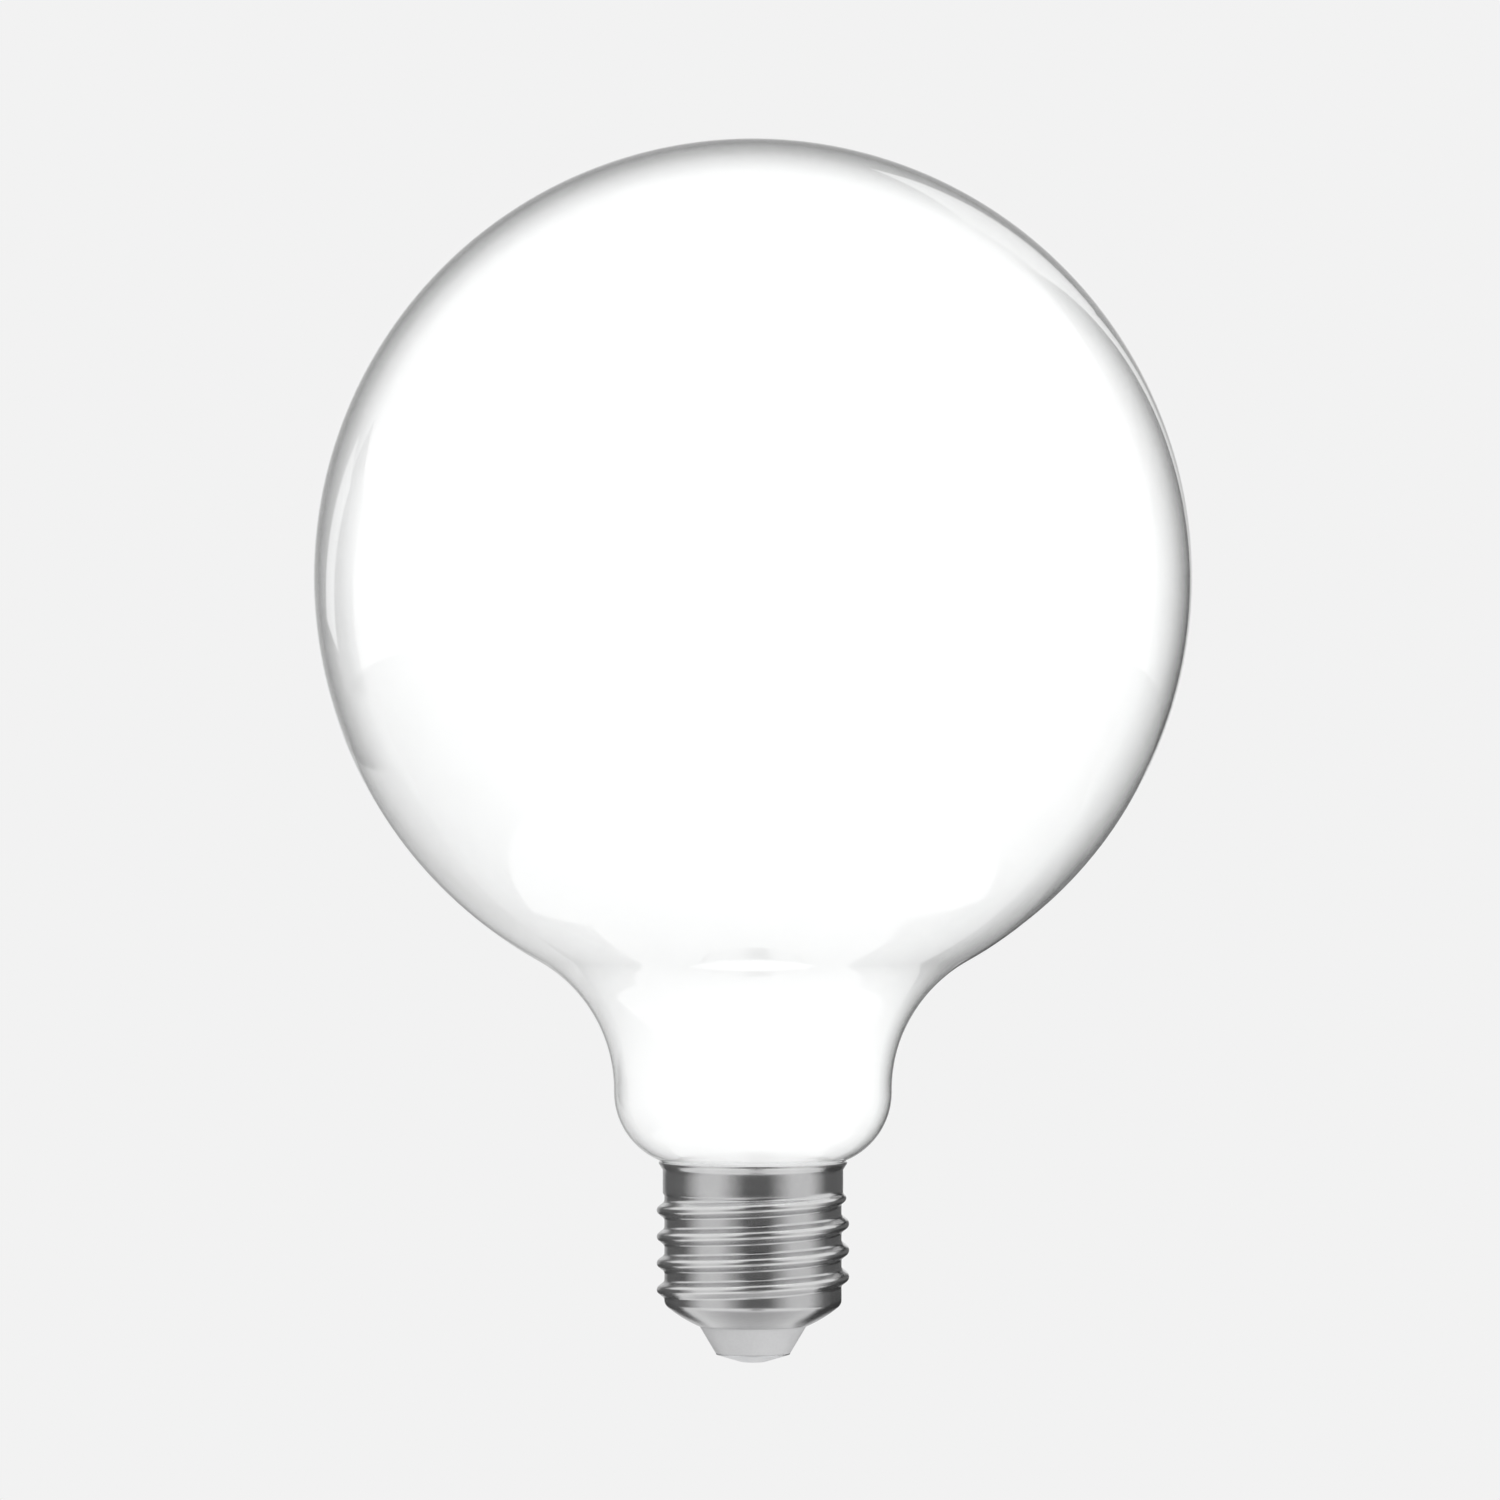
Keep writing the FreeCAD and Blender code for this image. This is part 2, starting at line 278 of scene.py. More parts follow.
class Group:
    """A shader node group with named inputs, built once and placed in several finishes."""

    def __init__(self, name: str, inputs: dict[str, float], outputs: tuple[str, ...]) -> None:
        """Starts the group.

        Args:
            name: the group's name.
            inputs: its number inputs and their usual values. It also has a Vector input.
            outputs: its number outputs.
        """
        self.data = bpy.data.node_groups.new(name, "ShaderNodeTree")
        self.data.interface.new_socket("Vector", in_out="INPUT", socket_type="NodeSocketVector")
        for title, value in inputs.items():
            socket = self.data.interface.new_socket(title, in_out="INPUT", socket_type="NodeSocketFloat")
            socket.default_value = value
        for title in outputs:
            self.data.interface.new_socket(title, in_out="OUTPUT", socket_type="NodeSocketFloat")
        self.nodes = Tree(self.data)
        self.inside = self.nodes.add("NodeGroupInput").outputs
        self.result = self.nodes.add("NodeGroupOutput").inputs

    def place(self, into: Tree, vector: bpy.types.NodeSocket, **values: float) -> bpy.types.NodeOutputs:
        """Places the group in a finish.

        Args:
            into: the finish's tree.
            vector: the coordinates that it reads.
            values: its inputs, with an underscore for each space.

        Returns:
            Its outputs.
        """
        node = into.add("Group", node_tree=self.data)
        into.join(vector, node.inputs["Vector"])
        for name, value in values.items():
            node.inputs[name.replace("_", " ")].default_value = value
        return node.outputs


def make_mottling() -> Group:
    """A cloudy mask from broad and fine noise, for colour and gloss that vary over a surface."""
    group = Group("Mottling", {"Scale": 120, "Fine Scale": 900, "Fine Share": 0.35}, ("Mask",))
    nodes = group.nodes
    broad = nodes.add("TexNoise")
    fine = nodes.add("TexNoise")
    for noise, scale in ((broad, "Scale"), (fine, "Fine Scale")):
        noise.inputs["Detail"].default_value = 3
        nodes.join(group.inside["Vector"], noise.inputs["Vector"])
        nodes.join(group.inside[scale], noise.inputs["Scale"])
    rest = nodes.sums("SUBTRACT", 1.0, group.inside["Fine Share"])
    mixed = nodes.sums(
        "ADD",
        nodes.sums("MULTIPLY", broad.outputs["Fac"], rest),
        nodes.sums("MULTIPLY", fine.outputs["Fac"], group.inside["Fine Share"]),
    )
    nodes.join(nodes.spread(mixed, (0.3, 0.7), (0, 1)), group.result["Mask"])
    return group


def make_turning_marks(across: Across) -> Group:
    """Fine lines that run round the axis, as rolling and turning leave them.

    Args:
        across: whether the lines follow one another up the axis or out from it.

    Returns:
        The group, whose outputs are the height of the lines, a slow wave of gloss and the distance from the axis.
    """
    group = Group(f"Turning_Marks_{across.value}", {"Lines": 9000, "Waves": 900}, ("Height", "Gloss", "Radius"))
    nodes = group.nodes
    parts = nodes.add("SeparateXYZ")
    nodes.join(group.inside["Vector"], parts.inputs[0])
    square = nodes.sums(
        "ADD", nodes.sums("POWER", parts.outputs["X"], 2), nodes.sums("POWER", parts.outputs["Y"], 2)
    )
    radius = nodes.sums("SQRT", square)
    place = parts.outputs["Z"] if across is Across.HEIGHT else radius
    for scale, output in (("Lines", "Height"), ("Waves", "Gloss")):
        noise = nodes.add("TexNoise", noise_dimensions="1D")
        noise.inputs["Detail"].default_value = 2
        nodes.join(nodes.sums("MULTIPLY", place, group.inside[scale]), noise.inputs["W"])
        noise.inputs["Scale"].default_value = 1
        nodes.join(noise.outputs["Fac"], group.result[output])
    nodes.join(radius, group.result["Radius"])
    return group


@dataclass
class Effects:
    """The shared node groups."""

    mottling: Group = field(default_factory=make_mottling)
    rings_up: Group = field(default_factory=lambda: make_turning_marks(Across.HEIGHT))
    rings_out: Group = field(default_factory=lambda: make_turning_marks(Across.RADIUS))


class Finish:
    """A material with one Principled shader, object coordinates and an optional bump."""

    def __init__(self, name: str) -> None:
        """Makes the material.

        Args:
            name: its name.
        """
        self.material = bpy.data.materials.new(name)
        self.material.use_nodes = True
        self.nodes = Tree(self.material.node_tree)
        self.shader = self.nodes.add("BsdfPrincipled")
        self.nodes.join(self.shader.outputs[0], self.nodes.add("OutputMaterial").inputs["Surface"])
        self.place = self.nodes.add("TexCoord").outputs["Object"]

    def plain(self, **values: object) -> None:
        """Sets values on the shader's own sockets, with an underscore for each space."""
        for name, value in values.items():
            self.shader.inputs[name.replace("_", " ")].default_value = value

    def feed(self, socket: str, source: bpy.types.NodeSocket) -> None:
        """Links a pattern to a socket of the shader."""
        self.nodes.join(source, self.shader.inputs[socket])

    def bump(self, height: bpy.types.NodeSocket, distance: float, strength: float) -> None:
        """Raises the surface.

        Args:
            height: the height, from 0 to 1.
            distance: the height of 1, in mm.
            strength: the share of it that is used.
        """
        node = self.nodes.add("Bump")
        node.inputs["Strength"].default_value = strength
        node.inputs["Distance"].default_value = distance * MM
        self.nodes.join(height, node.inputs["Height"])
        self.feed("Normal", node.outputs["Normal"])


@dataclass(frozen=True)
class ClearGlass:
    """The clear outer wall of the globe, with the slow waves of blown glass."""

    tint: Colour = (0.985, 0.99, 0.99)
    index: float = 1.5
    wave_scale: float = 28.0
    wave_height: float = 0.02
    wave_strength: float = 0.3

    def make(self, effects: Effects) -> bpy.types.Material:
        """Builds the material."""
        finish = Finish("clear_blown_glass")
        finish.plain(Base_Color=(*self.tint, 1), Transmission_Weight=1.0, IOR=self.index, Roughness=0.0)
        waves = effects.mottling.place(finish.nodes, finish.place, Scale=self.wave_scale, Fine_Share=0.0)
        finish.bump(waves["Mask"], self.wave_height, self.wave_strength)
        return finish.material


@dataclass(frozen=True)
class OpalCoating:
    """The white layer inside the glass, lit from within."""

    low: Colour = (0.83, 0.83, 0.825)
    high: Colour = (0.87, 0.87, 0.865)
    glow: float = 0.62
    gloss_roughness: float = 0.03
    roughness: Point = (0.5, 0.6)
    grain_scale: float = 90.0
    fine_grain_scale: float = 2600.0
    fine_share: float = 0.5
    grain_height: float = 0.01
    grain_strength: float = 0.15

    def make(self, effects: Effects) -> bpy.types.Material:
        """Builds the material."""
        finish = Finish("opal_coating")
        finish.plain(Coat_Weight=1.0, Coat_Roughness=self.gloss_roughness)
        finish.plain(Emission_Color=(1, 1, 1, 1), Emission_Strength=self.glow)
        powder = effects.mottling.place(
            finish.nodes,
            finish.place,
            Scale=self.grain_scale,
            Fine_Scale=self.fine_grain_scale,
            Fine_Share=self.fine_share,
        )
        finish.feed("Base Color", finish.nodes.blend(powder["Mask"], self.low, self.high))
        finish.feed("Roughness", finish.nodes.spread(powder["Mask"], (0, 1), self.roughness))
        finish.bump(powder["Mask"], self.grain_height, self.grain_strength)
        return finish.material


@dataclass(frozen=True)
class RolledNickel:
    """Satin nickel on thin rolled sheet, brushed round it, with fine lines. Its colour is painted darker towards the
    axis, as painted shade in the thread roots and over the bowl, and lighter out at the crests and lip.
    """

    painted_root_shade_colour: Colour = (0.66, 0.66, 0.665)
    crest_colour: Colour = (0.82, 0.82, 0.82)
    root_radius: float = 12.1
    crest_radius: float = 13.1
    roughness: Point = (0.19, 0.26)
    brushing: float = 0.65
    brushing_turn: float = 0.25
    line_scale: float = 14000.0
    wave_scale: float = 1400.0
    haze_scale: float = 160.0
    fine_haze_scale: float = 1500.0
    fine_share: float = 0.3
    painted_root_shade_share: float = 0.5
    haze_share: float = 0.3
    line_height: float = 0.004
    line_strength: float = 0.35

    def make(self, effects: Effects) -> bpy.types.Material:
        """Builds the material."""
        finish = Finish("satin_nickel_sheet")
        nodes = finish.nodes
        marks = effects.rings_up.place(nodes, finish.place, Lines=self.line_scale, Waves=self.wave_scale)
        haze = effects.mottling.place(
            nodes,
            finish.place,
            Scale=self.haze_scale,
            Fine_Scale=self.fine_haze_scale,
            Fine_Share=self.fine_share,
        )
        # Painted shade: the base colour darkens from the crest radius in to the root radius, so the thread roots and
        # the bowl are shaded in colour.
        painted_root_shade = nodes.spread(marks["Radius"], (self.root_radius * MM, self.crest_radius * MM), (0, 1))
        tone = nodes.sums(
            "ADD",
            nodes.sums("MULTIPLY", painted_root_shade, self.painted_root_shade_share),
            nodes.sums("MULTIPLY", haze["Mask"], self.haze_share),
        )
        finish.plain(Metallic=1.0, Anisotropic=self.brushing, Anisotropic_Rotation=self.brushing_turn)
        finish.feed("Tangent", nodes.add("Tangent", direction_type="RADIAL", axis="Z").outputs[0])
        finish.feed("Base Color", nodes.blend(tone, self.painted_root_shade_colour, self.crest_colour))
        dull = nodes.sums("MULTIPLY", nodes.sums("ADD", haze["Mask"], marks["Gloss"]), 0.5)
        finish.feed("Roughness", nodes.spread(dull, (0, 1), self.roughness))
        finish.bump(marks["Height"], self.line_height, self.line_strength)
        return finish.material


@dataclass(frozen=True)
class MouldedInsulator:
    """The pale moulded insulator, with a faint flow in its colour."""

    low: Colour = (0.57, 0.571, 0.577)
    high: Colour = (0.62, 0.621, 0.627)
    roughness: Point = (0.36, 0.48)
    flow_scale: float = 220.0
    grain_scale: float = 3000.0
    grain_share: float = 0.4
    grain_height: float = 0.01
    grain_strength: float = 0.2

    def make(self, effects: Effects) -> bpy.types.Material:
        """Builds the material."""
        finish = Finish("moulded_insulator")
        nodes = finish.nodes
        flow = effects.mottling.place(
            nodes,
            finish.place,
            Scale=self.flow_scale,
            Fine_Scale=self.grain_scale,
            Fine_Share=self.grain_share,
        )
        finish.feed("Base Color", nodes.blend(flow["Mask"], self.low, self.high))
        finish.feed("Roughness", nodes.spread(flow["Mask"], (0, 1), self.roughness))
        finish.bump(flow["Mask"], self.grain_height, self.grain_strength)
        return finish.material


@dataclass(frozen=True)
class TinnedContact:
    """The tinned contact, with fine rings about its centre."""

    low: Colour = (0.85, 0.858, 0.868)
    high: Colour = (0.92, 0.926, 0.934)
    roughness: Point = (0.42, 0.55)
    ring_scale: float = 12000.0
    wave_scale: float = 1800.0
    haze_scale: float = 400.0
    fine_haze_scale: float = 2500.0
    fine_share: float = 0.4
    ring_height: float = 0.004
    ring_strength: float = 0.4

    def make(self, effects: Effects) -> bpy.types.Material:
        """Builds the material."""
        finish = Finish("tinned_contact")
        nodes = finish.nodes
        marks = effects.rings_out.place(nodes, finish.place, Lines=self.ring_scale, Waves=self.wave_scale)
        haze = effects.mottling.place(
            nodes,
            finish.place,
            Scale=self.haze_scale,
            Fine_Scale=self.fine_haze_scale,
            Fine_Share=self.fine_share,
        )
        finish.plain(Metallic=1.0)
        finish.feed("Base Color", nodes.blend(haze["Mask"], self.low, self.high))
        finish.feed("Roughness", nodes.spread(marks["Gloss"], (0, 1), self.roughness))
        finish.bump(marks["Height"], self.ring_height, self.ring_strength)
        return finish.material


@dataclass
class Cap:
    """Heights and radii of the screw cap that its pieces share."""

    sheet: float = 0.3
    hole_reach: float = 7.4
    hole_level: float = 4.95
    rim_radius: float = 0.13
    bowl_radius: float = 18.5
    corner_radius: float = 1.2
    root_reach: float = 12.13
    barrel_height: float = 14.3
    collar_ramp: float = 0.4
    collar_reach: float = 12.36
    collar_height: float = 3.15
    lip_ramp: float = 0.85
    lip_reach: float = 12.89
    lip_height: float = 0.25

    @property
    def bowl_level(self) -> float:
        """Height of the centre of the bowl's sphere."""
        return self.hole_level + math.sqrt(self.bowl_radius**2 - self.hole_reach**2)

    @property
    def rim_drop(self) -> float:
        """How far the centre of the hole's rounded rim lies below the centre of the sphere."""
        return math.sqrt((self.bowl_radius - self.rim_radius) ** 2 - (self.hole_reach + self.rim_radius) ** 2)

    @property
    def corner_drop(self) -> float:
        """How far the centre of the rounded corner lies below the centre of the sphere."""
        return math.sqrt((self.bowl_radius - self.corner_radius) ** 2 - (self.root_reach - self.corner_radius) ** 2)

    @property
    def corner_level(self) -> float:
        """Height where the bowl's rounded corner meets the barrel."""
        return self.bowl_level - self.corner_drop

    @property
    def barrel_top(self) -> float:
        """Height of the barrel's upper end."""
        return self.corner_level + self.barrel_height

    @property
    def collar_top(self) -> float:
        """Height of the collar's upper end."""
        return self.barrel_top + self.collar_ramp + self.collar_height

    @property
    def lip_top(self) -> float:
        """Height of the lip."""
        return self.collar_top + self.lip_ramp + self.lip_height


@dataclass
class Globe:
    """The blown globe: a clear wall with an opal layer inside it."""

    cap: Cap
    radius: float = 60.0
    neck_reach: float = 19.02
    neck_length: float = 0.3
    fillet: float = 20.25
    shoulder: float = 10.1
    clearance: float = 0.08
    wall: float = 0.16
    gap: float = 0.12
    stub_length: float = 8.0
    segments: int = 192
    globe_steps: int = 104
    fillet_steps: int = 30
    shoulder_steps: int = 22
    stub_steps: int = 4

    def turned(self, inset: float) -> bmesh.types.BMesh:
        """Turns the globe's form.

        Args:
            inset: how far it lies inside the outer face.

        Returns:
            The closed mesh.
        """
        base = self.cap.lip_top + self.clearance
        stub = self.cap.root_reach - self.cap.sheet - self.clearance
        rim = self.cap.lip_reach - self.cap.sheet - self.clearance
        shoulder_level = base + math.sqrt(self.shoulder**2 - (rim - self.neck_reach + self.shoulder) ** 2)
        fillet_level = shoulder_level + self.neck_length
        spread = self.neck_reach + self.fillet
        level = fillet_level + math.sqrt((self.radius + self.fillet) ** 2 - spread**2)
        lean = math.degrees(math.atan2(fillet_level - level, spread))
        start = math.degrees(math.atan2(base - shoulder_level, rim - self.neck_reach + self.shoulder))

        lathe = Lathe((0, level + self.radius - inset))
        lathe.arc((0, level), lean - 90, self.globe_steps)
        lathe.arc((spread, fillet_level), -lean, self.fillet_steps)
        lathe.line((self.neck_reach - inset, shoulder_level))
        lathe.arc((self.neck_reach - self.shoulder, shoulder_level), start, self.shoulder_steps)
        lathe.line((stub - inset, self.cap.collar_top))
        lathe.line((stub - inset, self.cap.lip_top - self.stub_length + inset), self.stub_steps)
        lathe.line((0, self.cap.lip_top - self.stub_length + inset), self.stub_steps)
        return lathe.turn(self.segments)

    def make(self, glass: bpy.types.Material, opal: bpy.types.Material) -> None:
        """Builds the clear wall, with its hollow, and the opal layer in it.

        Args:
            glass: the finish of the wall.
            opal: the finish of the layer.
        """
        wall = self.turned(0)
        hollow = self.turned(self.wall)
        bmesh.ops.reverse_faces(hollow, faces=hollow.faces)
        inner = bpy.data.meshes.new("hollow")
        hollow.to_mesh(inner)
        hollow.free()
        wall.from_mesh(inner)
        bpy.data.meshes.remove(inner)
        stand_for(new_piece("glass_wall", wall, glass), "glass_globe")
        layer = new_piece("opal_layer", self.turned(self.wall + self.gap), opal)
        stand_for(layer, "glass_globe")


@dataclass
class Thread:
    """The rolled right-hand thread."""

    pitch: float = 3.629
    height: float = 1.045
    crest_radius: float = 0.7
    flank: float = 52.0
    foot_radius: float = 0.6
    turns: float = 3.85
    start_angle: float = 95.0
    start_rise: float = 0.55
    runout: float = 75.0
    least_growth: float = 0.02

    def section(self, offset: float) -> float:
        """The ridge's height.

        Args:
            offset: the distance from its middle, along the axis.

        Returns:
            How far it stands out of the wall there.
        """
        offset, slope = abs(offset), math.radians(self.flank)
        crest_end = self.crest_radius * math.sin(slope)
        crest_drop = self.height - self.crest_radius * (1 - math.cos(slope))
        foot = crest_end + crest_drop / math.tan(slope)
        reach = self.foot_radius * math.tan(slope / 2)
        if offset <= crest_end:
            return self.height - self.crest_radius + math.sqrt(self.crest_radius**2 - offset**2)
        if offset <= foot - reach * math.cos(slope):
            return (foot - offset) * math.tan(slope)
        if offset <= foot + reach:
            away = foot + reach - offset
            return self.foot_radius - math.sqrt(self.foot_radius**2 - away**2)
        return 0.0

    def rise(self, angle: float, level: float, base: float) -> float:
        """How far the thread stands out at a place.

        Args:
            angle: the angle about the axis, in degrees.
            level: the height of the place.
            base: the height of the barrel's lower end.

        Returns:
            The distance out of the wall.
        """
        first = (angle - self.start_angle) % 360
        nearest = round((level - base - self.start_rise) / self.pitch - first / 360)
        turned = first + 360 * nearest
        whole = 360 * self.turns
        if not 0 < turned < whole:
            return 0.0
        growth = max(self.least_growth, ease(min(turned, whole - turned) / self.runout))
        offset = level - base - self.start_rise - self.pitch * turned / 360
        return growth * self.section(offset / growth)


@dataclass
class ScrewShell:
    """The shell rolled from thin sheet: bowl, threaded barrel, plain collar and flared lip."""

    cap: Cap
    thread: Thread = field(default_factory=Thread)
    segments: int = 240
    outer_steps: int = 208
    inner_steps: int = 104
    bowl_steps: int = 16
    corner_steps: int = 8
    rim_steps: int = 6
    collar_steps: int = 6
    lip_steps: int = 3
    edge_steps: int = 3
    edge: float = 0.1
    reach_below: float = 1.0
    reach_above: float = 2.0
    reach_in: float = 1.0

    def skin(self, lathe: Lathe, inset: float, barrel_steps: int, rim: bool) -> None:
        """Draws one skin from the bowl's hole up to the lip.

        Args:
            lathe: the lathe, whose pen stands at the hole.
            inset: how far the skin lies inside the outer one.
            barrel_steps: how many edges the barrel has.
            rim: whether it starts with the rounded rim of the hole.
        """
        cap = self.cap
        bowl = cap.bowl_radius - inset
        start = math.degrees(math.atan2(-math.sqrt(bowl**2 - cap.hole_reach**2), cap.hole_reach))
        end = math.degrees(math.atan2(-cap.corner_drop, cap.root_reach - cap.corner_radius))
        if rim:
            start = math.degrees(math.atan2(-cap.rim_drop, cap.hole_reach + cap.rim_radius))
            lathe.arc((cap.hole_reach + cap.rim_radius, cap.bowl_level - cap.rim_drop), 180 + start, self.rim_steps)
        lathe.arc((0, cap.bowl_level), end - start, self.bowl_steps)
        lathe.arc((cap.root_reach - cap.corner_radius, cap.corner_level), -end, self.corner_steps)
        lathe.line((cap.root_reach - inset, cap.barrel_top), barrel_steps)
        lathe.line((cap.collar_reach - inset, cap.barrel_top + cap.collar_ramp), 2)
        lathe.line((cap.collar_reach - inset, cap.collar_top), self.collar_steps)
        lathe.line((cap.lip_reach - inset, cap.collar_top + cap.lip_ramp), self.lip_steps)

    def make(self, sheet: bpy.types.Material) -> None:
        """Builds the shell.

        Args:
            sheet: its finish.
        """
        cap = self.cap
        outer = Lathe((cap.hole_reach, cap.bowl_level - cap.rim_drop))
        self.skin(outer, 0, self.outer_steps, rim=True)
        outer.line((cap.lip_reach, cap.lip_top - self.edge))
        outer.arc((cap.lip_reach - self.edge, cap.lip_top - self.edge), 90, self.edge_steps)
        outer.line((cap.lip_reach - cap.sheet, cap.lip_top))
        inner_bowl = cap.bowl_radius - cap.sheet
        inner_hole = cap.bowl_level - math.sqrt(inner_bowl**2 - cap.hole_reach**2)
        inner = Lathe((cap.hole_reach, inner_hole))
        self.skin(inner, cap.sheet, self.inner_steps, rim=False)
        inner.line((cap.lip_reach - cap.sheet, cap.lip_top))
        shell = outer.turn(self.segments)
        inside = bpy.data.meshes.new("inside")
        lining = inner.turn(self.segments)
        lining.to_mesh(inside)
        lining.free()
        shell.from_mesh(inside)
        bpy.data.meshes.remove(inside)
        bmesh.ops.remove_doubles(shell, verts=shell.verts, dist=MERGE_DISTANCE)
        rims = [edge for edge in shell.edges if edge.is_boundary]
        bmesh.ops.bridge_loops(shell, edges=rims)
        self.roll(shell)
        bmesh.ops.recalc_face_normals(shell, faces=shell.faces)
        stand_for(new_piece("rolled_shell", shell, sheet), "screw_shell")

    def roll(self, shell: bmesh.types.BMesh) -> None:
        """Rolls the thread into both skins of the barrel.

        Args:
            shell: the plain shell.
        """
        cap = self.cap
        low, high = cap.corner_level - self.reach_below, cap.barrel_top + self.reach_above
        for vertex in shell.verts:
            radius = math.hypot(vertex.co.x, vertex.co.y)
            if low * MM < vertex.co.z < high * MM and radius > (cap.root_reach - self.reach_in) * MM:
                out = self.thread.rise(turning_angle(vertex.co), vertex.co.z / MM, cap.corner_level)
                plain = cap.root_reach * MM if radius > (cap.root_reach - cap.sheet / 2) * MM else radius
                grown = max(radius, plain + out * MM) if out else radius
                vertex.co.x *= grown / radius
                vertex.co.y *= grown / radius


@dataclass
class Insulator:
    """The moulded insulator: a skirt seated in the bowl and a tapered boss below it."""

    cap: Cap
    tip_reach: float = 5.25
    tip_level: float = 1.25
    clearance: float = 0.08
    bore_reach: float = 1.65
    skirt_height: float = 1.3
    edge: float = 0.12
    segments: int = 160

    def make(self, plastic: bpy.types.Material) -> None:
        """Builds the insulator.

        Args:
            plastic: its finish.
        """
        cap = self.cap
        throat = cap.hole_reach - self.clearance
        inner_bowl = cap.bowl_radius - cap.sheet - self.clearance
        throat_top = cap.bowl_level - math.sqrt(inner_bowl**2 - throat**2)
        skirt = cap.root_reach - cap.sheet - self.clearance
        skirt_top = cap.corner_level + self.skirt_height
        lean = math.degrees(math.atan2(cap.hole_level - self.tip_level, throat - self.tip_reach))
        back = self.edge * math.tan(math.radians(90 - lean / 2))
        lathe = Lathe((self.bore_reach, self.tip_level))
        lathe.line((self.tip_reach - back, self.tip_level), 4)
        lathe.arc((self.tip_reach - back, self.tip_level + self.edge), lean, 5)
        lathe.line((throat, cap.hole_level), 8)
        lathe.line((throat, throat_top))
        lathe.line((skirt, cap.corner_level), 4)
        lathe.line((skirt, skirt_top))
        lathe.line((self.bore_reach, skirt_top), 4)
        lathe.close()
        stand_for(new_piece("moulded_boss", lathe.turn(self.segments), plastic), "insulator")


@dataclass
class Contact:
    """The centre contact: a low coned head with a soft rim on a shank."""

    land: float = 1.5
    reach: float = 5.1
    crown: float = 1.25
    rim: float = 0.2
    rim_start: Point = (0.16, 0.23)
    rim_centre: Point = (0.2, 0.04)
    soft: float = 3.0
    shank: float = 1.6
    shank_length: float = 5.0
    segments: int = 128

    def make(self, metal: bpy.types.Material) -> None:
        """Builds the contact.

        Args:
            metal: its finish.
        """
        lean = math.degrees(math.atan2(self.crown - self.rim, self.reach - self.land))
        flat = self.land - self.soft * math.tan(math.radians(lean / 2))
        lathe = Lathe((0, 0))
        lathe.line((flat, 0), 3)
        lathe.arc((flat, self.soft), lean, 6)
        lathe.line((self.reach - self.rim_start[0], self.crown - self.rim_start[1]), 8)
        lathe.arc((self.reach - self.rim_centre[0], self.crown - self.rim_centre[1]), 90 - lean, 4)
        lathe.line((self.reach, self.crown))
        lathe.line((self.shank, self.crown), 2)
        lathe.line((self.shank, self.crown + self.shank_length), 2)
        lathe.line((0, self.crown + self.shank_length))
        stand_for(new_piece("contact_head", lathe.turn(self.segments), metal), "centre_contact")


@dataclass(frozen=True)
class Band:
    """A studio card bent round the bulb's axis, which only reflections see.

    Angles are degrees from straight behind the bulb, clockwise from above, so that 180 is the camera's side.
    """

    name: str
    radius: float
    heights: Point
    tones: tuple[Point, ...]

    def make(self) -> bpy.types.Object:
        """Builds the card, whose tones are pairs of an angle and the tone there."""
        first, last = self.tones[0][0], self.tones[-1][0]
        mesh = bmesh.new()
        place = [self.radius * math.sin(math.radians(first)), self.radius * math.cos(math.radians(first))]
        ends = [mesh.verts.new((place[0] * MM, place[1] * MM, height * MM)) for height in self.heights]
        mesh.edges.new(ends)
        bmesh.ops.spin(
            mesh,
            geom=mesh.verts[:] + mesh.edges[:],
            cent=(0, 0, 0),
            axis=(0, 0, 1),
            dvec=(0, 0, 0),
            angle=-math.radians(last - first),
            steps=BEND_STEPS,
            use_merge=False,
            use_duplicate=False,
        )
        paint = Glow(self.name)
        turned = paint.nodes.sums("ARCTAN2", paint.parts["X"], paint.parts["Y"])
        degrees = paint.nodes.sums("MULTIPLY", turned, math.degrees(1))
        round_on = paint.nodes.sums("WRAP", degrees, 360.0, 0.0)
        paint.shade(round_on, self.tones)
        return new_piece(self.name, mesh, paint.material)


@dataclass(frozen=True)
class Board:
    """A flat card behind or under the bulb, out of the camera's sight.

    It is a rectangle turned about the view, or a disc, and its depth is how far behind the bulb it hangs. Its tones
    are pairs of a distance from its middle and the tone there. A card's middle is that of the globe in the camera's
    view, and a lying disc has its own. A lying disc's depth is its height.
    """

    name: str
    depth: float
    centre: Point
    size: Point
    tones: tuple[Point, ...]
    lean: float = 0.0
    round: bool = False
    lying: bool = False
    middle: Point = (0.0, 107.0)

    def make(self) -> bpy.types.Object:
        """Builds the card."""
        mesh = bmesh.new()
        if self.round:
            bmesh.ops.create_circle(mesh, cap_ends=True, segments=DISC_SEGMENTS, radius=self.size[0] * MM)
        else:
            bmesh.ops.create_grid(mesh, x_segments=1, y_segments=1, size=0.5 * MM)
            bmesh.ops.scale(mesh, verts=mesh.verts, vec=(*self.size, 1))
        if self.lying:
            place = Matrix.Translation((0, 0, self.depth * MM))
        else:
            place = Matrix.Translation((self.centre[0] * MM, self.depth * MM, self.centre[1] * MM))
            place @= Matrix.Rotation(math.radians(self.lean), 4, "Y") @ Matrix.Rotation(math.radians(90), 4, "X")
        bmesh.ops.transform(mesh, matrix=place, verts=mesh.verts)
        paint = Glow(self.name)
        across = paint.nodes.sums("SUBTRACT", paint.parts["X"], self.middle[0] * MM)
        up = paint.nodes.sums("SUBTRACT", paint.parts["Y" if self.lying else "Z"], self.middle[1] * MM)
        square = paint.nodes.sums(
            "ADD", paint.nodes.sums("POWER", across, 2.0), paint.nodes.sums("POWER", up, 2.0)
        )
        paint.shade(paint.nodes.sums("MULTIPLY", paint.nodes.sums("SQRT", square), 1 / MM), self.tones)
        return new_piece(self.name, mesh, paint.material)


